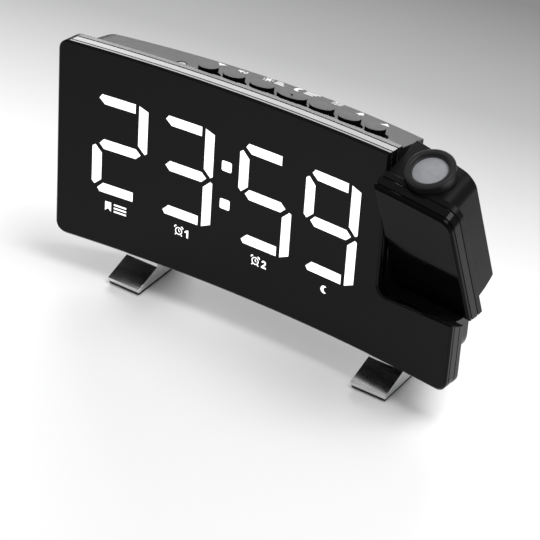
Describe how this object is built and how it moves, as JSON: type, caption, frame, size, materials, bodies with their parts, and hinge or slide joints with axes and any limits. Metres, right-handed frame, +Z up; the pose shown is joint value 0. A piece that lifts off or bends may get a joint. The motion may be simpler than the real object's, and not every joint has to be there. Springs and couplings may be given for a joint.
{
  "type": "projection alarm clock",
  "caption": "Curved free-standing display clock with top keys and a swivelling projector arm in a notch at its right end.",
  "frame": {"origin": "on the table, below the middle of the clock's width and depth", "axes": "+X to the right along the display, +Y to the rear, +Z up; the display faces -Y"},
  "size_m": [0.2, 0.0488, 0.1097],
  "materials": {
    "display_acrylic": "dark tinted acrylic, polished",
    "frame_gloss": "piano black moulding",
    "arm_frame_gloss": "piano black moulding",
    "shell_black": "fine satin moulding",
    "key_black": "satin keys",
    "screw_steel": "black zinc screws",
    "display_white": "white reflector block",
    "board_green": "circuit board",
    "socket_metal": "nickel-plated can",
    "socket_plastic": "black nylon",
    "speaker_dark": "black basket",
    "cell_steel": "bright steel",
    "door_black": "fine satin moulding",
    "pivot_steel": "turned steel",
    "bush_nylon": "white nylon",
    "barrel_black": "flat black",
    "lens_clear": "clear optical plastic",
    "lamp_clear": "clear lamp body",
    "ring_black": "satin ring",
    "foot_chrome": "mirror plating",
    "pad_rubber": "soft black rubber"
  },
  "bodies": {
    "housing": {"front_panel": "display_acrylic", "front_frame": "frame_gloss", "rear_shell": "shell_black", "rear_screws": "screw_steel", "digit_block": "display_white", "display_board": "board_green", "main_board": "board_green", "usb_socket": "socket_metal", "dc_jack": "socket_plastic", "speaker": "speaker_dark", "cell_holder": "socket_plastic", "coin_cell": "cell_steel", "key_switches": "socket_plastic", "key_board": "board_green", "pivot_bush": "bush_nylon", "friction_washer": "pivot_steel", "foot_left": "foot_chrome", "foot_right": "foot_chrome", "foot_pad_left": "pad_rubber", "foot_pad_right": "pad_rubber"},
    "arm": {"arm_panel": "display_acrylic", "arm_frame": "arm_frame_gloss", "arm_shell": "shell_black", "pivot_shaft": "pivot_steel", "retaining_clip": "pivot_steel", "lens_barrel": "barrel_black", "projection_lens": "lens_clear", "image_slide": "lens_clear", "projector_lamp": "lamp_clear", "lamp_board": "board_green"},
    "focus_ring": {"focus_ring": "ring_black"},
    "battery_door": {"battery_door": "door_black"},
    "key_1": {"key_1": "key_black"},
    "key_2": {"key_2": "key_black"},
    "key_3": {"key_3": "key_black"},
    "key_4": {"key_4": "key_black"},
    "key_5": {"key_5": "key_black"},
    "key_6": {"key_6": "key_black"},
    "key_7": {"key_7": "key_black"}
  },
  "joints": [
    {"name": "arm_tilt", "type": "hinge", "parent": "housing", "child": "arm", "pos_m": [0.062, 0.00013, 0.07396], "axis": [1, 0, 0], "range_deg": [-107.5, 72.5]},
    {"name": "focus_turn", "type": "hinge", "parent": "arm", "child": "focus_ring", "pos_m": [0.08, 0.00232, 0.07465], "axis": [0, -0.3007, 0.9537], "range_deg": [-90, 90]},
    {"name": "battery_door_pull", "type": "slide", "parent": "housing", "child": "battery_door", "axis": [0, 0.9917, -0.1288], "range_m": [0, 0.012]},
    {"name": "key_1_press", "type": "slide", "parent": "housing", "child": "key_1", "axis": [0, -0.2402, -0.9707], "range_m": [0, 0.0008], "stiffness_N_per_m": 400, "springref_m": -0.001},
    {"name": "key_2_press", "type": "slide", "parent": "housing", "child": "key_2", "axis": [0, -0.2402, -0.9707], "range_m": [0, 0.0008], "stiffness_N_per_m": 400, "springref_m": -0.001},
    {"name": "key_3_press", "type": "slide", "parent": "housing", "child": "key_3", "axis": [0, -0.2402, -0.9707], "range_m": [0, 0.0008], "stiffness_N_per_m": 400, "springref_m": -0.001},
    {"name": "key_4_press", "type": "slide", "parent": "housing", "child": "key_4", "axis": [0, -0.2402, -0.9707], "range_m": [0, 0.0008], "stiffness_N_per_m": 400, "springref_m": -0.001},
    {"name": "key_5_press", "type": "slide", "parent": "housing", "child": "key_5", "axis": [0, -0.2402, -0.9707], "range_m": [0, 0.0008], "stiffness_N_per_m": 400, "springref_m": -0.001},
    {"name": "key_6_press", "type": "slide", "parent": "housing", "child": "key_6", "axis": [0, -0.2402, -0.9707], "range_m": [0, 0.0008], "stiffness_N_per_m": 400, "springref_m": -0.001},
    {"name": "key_7_press", "type": "slide", "parent": "housing", "child": "key_7", "axis": [0, -0.2402, -0.9707], "range_m": [0, 0.0008], "stiffness_N_per_m": 400, "springref_m": -0.001}
  ]
}
